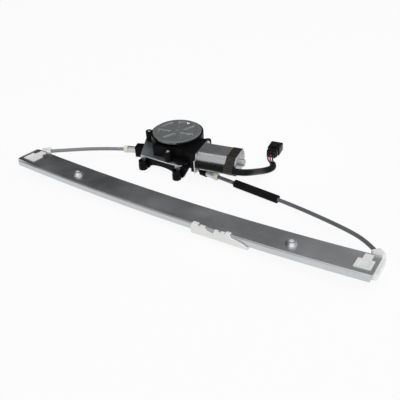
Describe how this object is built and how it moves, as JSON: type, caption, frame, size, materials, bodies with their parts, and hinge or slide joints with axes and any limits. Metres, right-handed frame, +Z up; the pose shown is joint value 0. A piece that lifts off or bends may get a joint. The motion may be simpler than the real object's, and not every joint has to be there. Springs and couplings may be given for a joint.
{
  "type": "window regulator",
  "caption": "Cable-drum window regulator: bowed guide rail with a slider, cable conduits, and a worm-geared motor drive unit with a pigtail connector.",
  "frame": {"origin": "on the feet plane, under the drive axis", "axes": "+X along the guide rail towards its lower end, +Z up along the drive axis and away from the door panel"},
  "size_m": [0.5688, 0.2608, 0.049],
  "materials": {
    "galvanised": "galvanised, satin",
    "white_plastic": "moulded",
    "cream_plastic": "moulded",
    "black_plastic": "moulded, fine grain",
    "grey_plastic": "moulded",
    "zinc_steel": "zinc plated, drawn",
    "steel": "plated",
    "bronze": "sintered",
    "copper": "enamelled wire",
    "magnet": "sintered",
    "conduit_grey": "extruded",
    "rubber": "moulded",
    "foam": "closed-cell",
    "sleeve": "wrapped, matte",
    "wire": "insulation"
  },
  "bodies": {
    "frame": {"brush_card": "black_plastic", "brushes": "magnet", "connector_housing": "black_plastic", "connector_lock": "black_plastic", "drum_housing": "black_plastic", "flange_screws": "steel", "foam_sleeve": "foam", "foot_bushes": "steel", "front_bearing": "bronze", "gear_cover": "grey_plastic", "gear_housing": "black_plastic", "guide_rail": "galvanised", "housing_screws": "steel", "lift_cable": "steel", "lower_cable_guide": "white_plastic", "lower_conduit": "conduit_grey", "lower_ferrule": "steel", "lower_ferrule_cap": "cream_plastic", "magnets": "magnet", "motor_can": "zinc_steel", "motor_lead": "sleeve", "mounting_plate": "galvanised", "pigtail_sleeve": "sleeve", "pigtail_wires": "wire", "rear_bearing": "bronze", "tape_band": "sleeve", "upper_cable_guide": "white_plastic", "upper_conduit": "conduit_grey", "upper_ferrule": "steel", "upper_ferrule_cap": "cream_plastic"},
    "armature": {"armature_shaft": "steel", "armature_core": "steel", "windings": "copper", "commutator": "copper"},
    "drive": {"worm_wheel": "white_plastic", "rubber_damper": "rubber", "drive_shaft": "steel", "cable_drum": "white_plastic"},
    "slider": {"slider": "white_plastic", "glass_bracket": "galvanised", "bracket_rivets": "steel", "cable_nipples": "steel"}
  },
  "joints": [
    {"name": "armature_spin", "type": "hinge", "parent": "frame", "child": "armature", "pos_m": [0.00504, -0.0318, 0.03], "axis": [0.9877, 0.1564, 0], "range_deg": [-48150, 20300]},
    {"name": "drum_spin", "type": "hinge", "parent": "frame", "child": "drive", "pos_m": [0, 0, 0.03], "axis": [0, 0, 1], "range_deg": [-376, 892]},
    {"name": "slider_travel", "type": "hinge", "parent": "frame", "child": "slider", "pos_m": [0.087, 0.25382, 4.08518], "axis": [0, -0.9954, 0.0958], "range_deg": [-3.92, 1.65]}
  ],
  "couplings": [
    {"joint": "drum_spin", "follows": "slider_travel", "ratio": -227.11},
    {"joint": "armature_spin", "follows": "slider_travel", "ratio": 12264}
  ]
}
